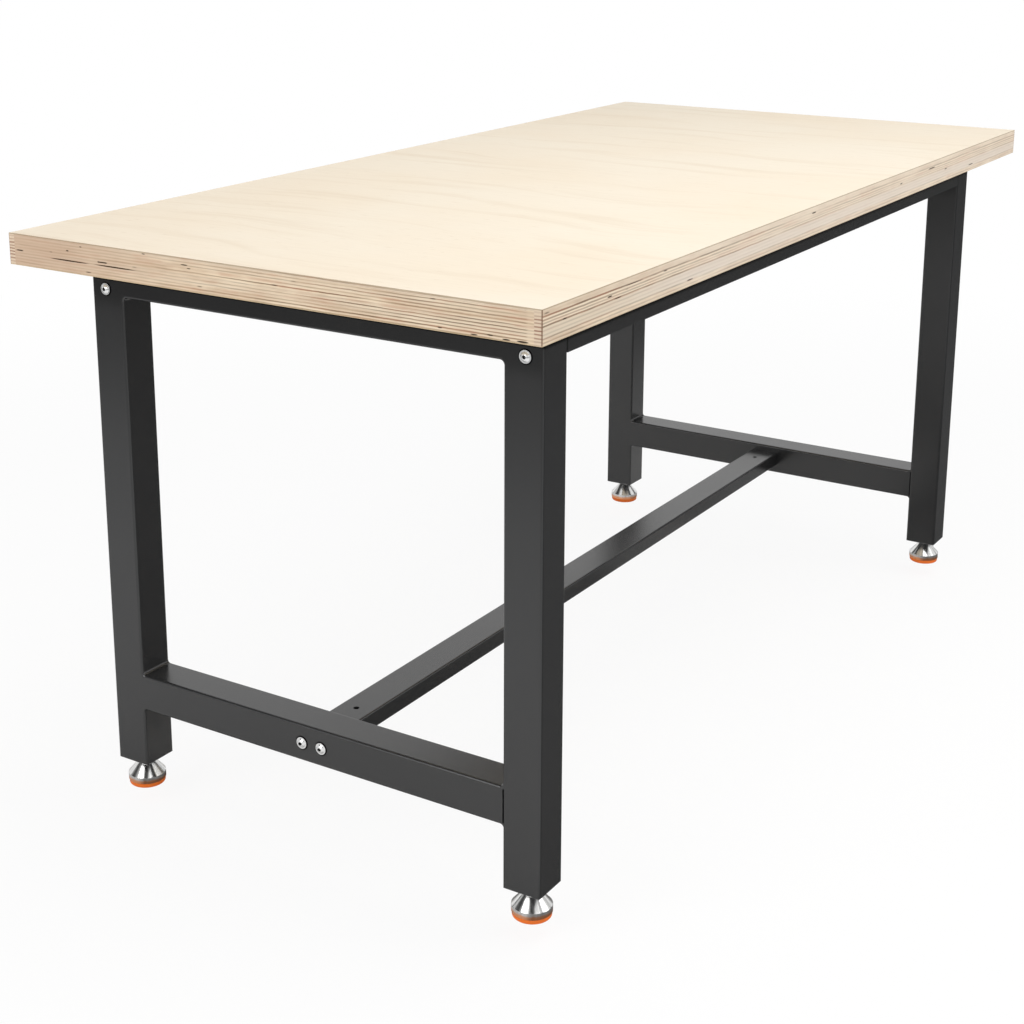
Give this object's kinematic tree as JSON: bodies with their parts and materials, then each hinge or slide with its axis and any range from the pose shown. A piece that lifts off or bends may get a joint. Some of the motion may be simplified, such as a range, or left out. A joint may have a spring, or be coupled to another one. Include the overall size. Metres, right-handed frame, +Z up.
{
  "type": "workbench",
  "caption": "Workbench with a thick plywood top on a bolted square-tube steel frame, end stretchers joined by a flat centre beam, and screw-adjusted levelling feet.",
  "frame": {"origin": "on the floor, under the middle of the worktop", "axes": "+X along the length of the bench, +Y from front to back, +Z up"},
  "size_m": [1.86, 0.892, 0.9],
  "materials": {
    "plywood": "pale sanded birch plywood, clear sealed, with bare sawn edges",
    "frame_coat": "satin charcoal powder coat with a fine orange-peel texture",
    "plated_steel": "bright zinc plating",
    "foot_metal": "polished, mirror-bright turned steel",
    "foot_pad": "smooth orange rubber with a soft gloss"
  },
  "bodies": {
    "bench": {"worktop": "plywood", "front_left_leg": "frame_coat", "back_left_leg": "frame_coat", "front_right_leg": "frame_coat", "back_right_leg": "frame_coat", "front_left_foot_plate": "frame_coat", "back_left_foot_plate": "frame_coat", "front_right_foot_plate": "frame_coat", "back_right_foot_plate": "frame_coat", "left_top_rail": "frame_coat", "right_top_rail": "frame_coat", "left_stretcher": "frame_coat", "right_stretcher": "frame_coat", "corner_welds": "frame_coat", "front_rail": "frame_coat", "back_rail": "frame_coat", "front_left_end_plate": "frame_coat", "back_left_end_plate": "frame_coat", "front_right_end_plate": "frame_coat", "back_right_end_plate": "frame_coat", "centre_beam": "frame_coat", "left_beam_plate": "frame_coat", "right_beam_plate": "frame_coat", "corner_bolts": "plated_steel", "rail_nuts": "plated_steel", "beam_bolts": "plated_steel", "beam_nuts": "plated_steel", "foot_nuts": "plated_steel", "top_screws": "plated_steel"},
    "front_left_foot": {"front_left_cone": "foot_metal", "front_left_disc": "foot_metal", "front_left_pad": "foot_pad"},
    "front_left_screw": {"front_left_stud": "foot_metal"},
    "back_left_foot": {"back_left_cone": "foot_metal", "back_left_disc": "foot_metal", "back_left_pad": "foot_pad"},
    "back_left_screw": {"back_left_stud": "foot_metal"},
    "front_right_foot": {"front_right_cone": "foot_metal", "front_right_disc": "foot_metal", "front_right_pad": "foot_pad"},
    "front_right_screw": {"front_right_stud": "foot_metal"},
    "back_right_foot": {"back_right_cone": "foot_metal", "back_right_disc": "foot_metal", "back_right_pad": "foot_pad"},
    "back_right_screw": {"back_right_stud": "foot_metal"}
  },
  "joints": [
    {"name": "front_left_height", "type": "slide", "parent": "bench", "child": "front_left_foot", "axis": [0, 0, -1], "range_m": [-0.0026, 0.0297]},
    {"name": "front_left_turn", "type": "hinge", "parent": "front_left_foot", "child": "front_left_screw", "pos_m": [-0.798, -0.358, 0.02], "axis": [0, 0, -1], "range_deg": [-540, 6120]},
    {"name": "back_left_height", "type": "slide", "parent": "bench", "child": "back_left_foot", "axis": [0, 0, -1], "range_m": [-0.0026, 0.0297]},
    {"name": "back_left_turn", "type": "hinge", "parent": "back_left_foot", "child": "back_left_screw", "pos_m": [-0.798, 0.358, 0.02], "axis": [0, 0, -1], "range_deg": [-540, 6120]},
    {"name": "front_right_height", "type": "slide", "parent": "bench", "child": "front_right_foot", "axis": [0, 0, -1], "range_m": [-0.0026, 0.0297]},
    {"name": "front_right_turn", "type": "hinge", "parent": "front_right_foot", "child": "front_right_screw", "pos_m": [0.798, -0.358, 0.02], "axis": [0, 0, -1], "range_deg": [-540, 6120]},
    {"name": "back_right_height", "type": "slide", "parent": "bench", "child": "back_right_foot", "axis": [0, 0, -1], "range_m": [-0.0026, 0.0297]},
    {"name": "back_right_turn", "type": "hinge", "parent": "back_right_foot", "child": "back_right_screw", "pos_m": [0.798, 0.358, 0.02], "axis": [0, 0, -1], "range_deg": [-540, 6120]}
  ],
  "couplings": [
    {"joint": "front_left_turn", "follows": "front_left_height", "rad_per_m": 3590.4},
    {"joint": "back_left_turn", "follows": "back_left_height", "rad_per_m": 3590.4},
    {"joint": "front_right_turn", "follows": "front_right_height", "rad_per_m": 3590.4},
    {"joint": "back_right_turn", "follows": "back_right_height", "rad_per_m": 3590.4}
  ]
}
